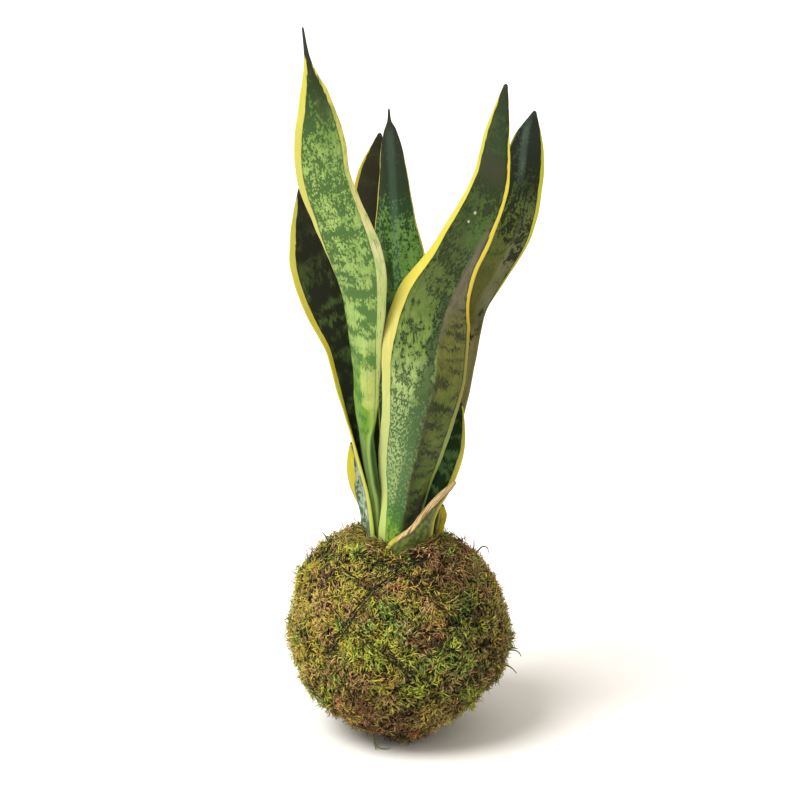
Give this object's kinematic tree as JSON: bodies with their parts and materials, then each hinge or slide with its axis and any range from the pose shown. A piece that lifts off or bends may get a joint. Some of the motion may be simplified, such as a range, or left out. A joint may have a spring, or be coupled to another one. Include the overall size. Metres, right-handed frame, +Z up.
{
  "type": "kokedama moss ball plant",
  "caption": "Moss-wrapped soil ball bound with thread, with a clump of upright variegated snake plant leaves, resting on a small flat spot",
  "frame": {"origin": "centre of the small flat spot that the moss ball rests on", "axes": "+Z up along the leaves; -Y is the side the picture shows; +X is the picture's right"},
  "size_m": [0.1315, 0.1165, 0.3771],
  "materials": {
    "moss": "matt, fibrous, yellow-green with brown patches",
    "soil": "matt, moist and crumbly",
    "rhizome": "satin, fleshy",
    "thread": "matt black",
    "leaf": "satin, mottled green with yellow margins",
    "leaf_yellow": "satin olive-yellow",
    "bract": "dry, papery tan over pale green"
  },
  "bodies": {
    "root": {"moss_wrap": "moss", "soil_ball": "soil", "rhizome": "rhizome", "binding_thread": "thread", "leaf_front_right": "leaf", "leaf_front_left": "leaf", "leaf_left": "leaf", "leaf_back_left": "leaf", "leaf_back_centre": "leaf", "leaf_right": "leaf", "leaf_short_right": "leaf", "leaf_short_left": "leaf", "leaf_stub": "leaf_yellow", "dry_bract": "bract"}
  },
  "joints": []
}
